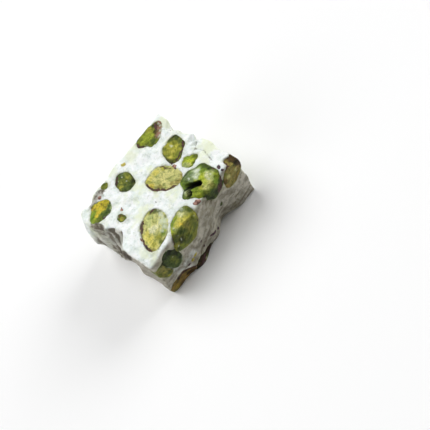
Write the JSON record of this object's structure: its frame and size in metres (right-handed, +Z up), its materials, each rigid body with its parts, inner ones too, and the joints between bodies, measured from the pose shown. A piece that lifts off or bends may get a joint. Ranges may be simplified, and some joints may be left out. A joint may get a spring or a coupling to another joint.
{
  "type": "nougat bar",
  "caption": "Square-cut chunk of white nougat with whole and sliced pistachio kernels set flush in its cut faces, one side torn.",
  "frame": {"origin": "middle of the underside, the broad cut face that the chunk lies on", "axes": "+X along the longer sides towards the side with the cracked flap, +Y towards the back, away from the front side, +Z up out of the other broad cut face"},
  "size_m": [0.0506, 0.0404, 0.0247],
  "materials": {
    "nougat": "soft chewy white nougat, slightly translucent, dull where cut and glossier where smeared",
    "pistachio": "cut kernel, yellow green inside and dark green at the rim, faintly oily",
    "pistachio_skin": "thin wrinkled purple brown kernel skin, dull"
  },
  "bodies": {
    "root": {"nougat": "nougat", "pistachio_back_foot": "pistachio", "pistachio_back_left": "pistachio", "pistachio_back_middle": "pistachio", "pistachio_back_right": "pistachio", "pistachio_edge_back": "pistachio", "pistachio_edge_front": "pistachio", "pistachio_front_corner": "pistachio", "pistachio_front_foot": "pistachio", "pistachio_front_left": "pistachio", "pistachio_front_rim": "pistachio_skin", "pistachio_front_upper": "pistachio", "pistachio_right_back": "pistachio", "pistachio_right_front": "pistachio", "pistachio_right_middle": "pistachio", "pistachio_top_chip": "pistachio", "pistachio_top_corner": "pistachio", "pistachio_top_front": "pistachio", "pistachio_top_left": "pistachio", "pistachio_top_middle": "pistachio", "pistachio_top_right": "pistachio", "pistachio_top_round": "pistachio", "pistachio_top_sliver": "pistachio", "pistachio_top_split": "pistachio", "pistachio_under_back": "pistachio", "pistachio_under_corner": "pistachio", "pistachio_under_edge": "pistachio", "pistachio_under_front": "pistachio", "pistachio_under_left": "pistachio", "pistachio_under_right": "pistachio"}
  },
  "joints": []
}
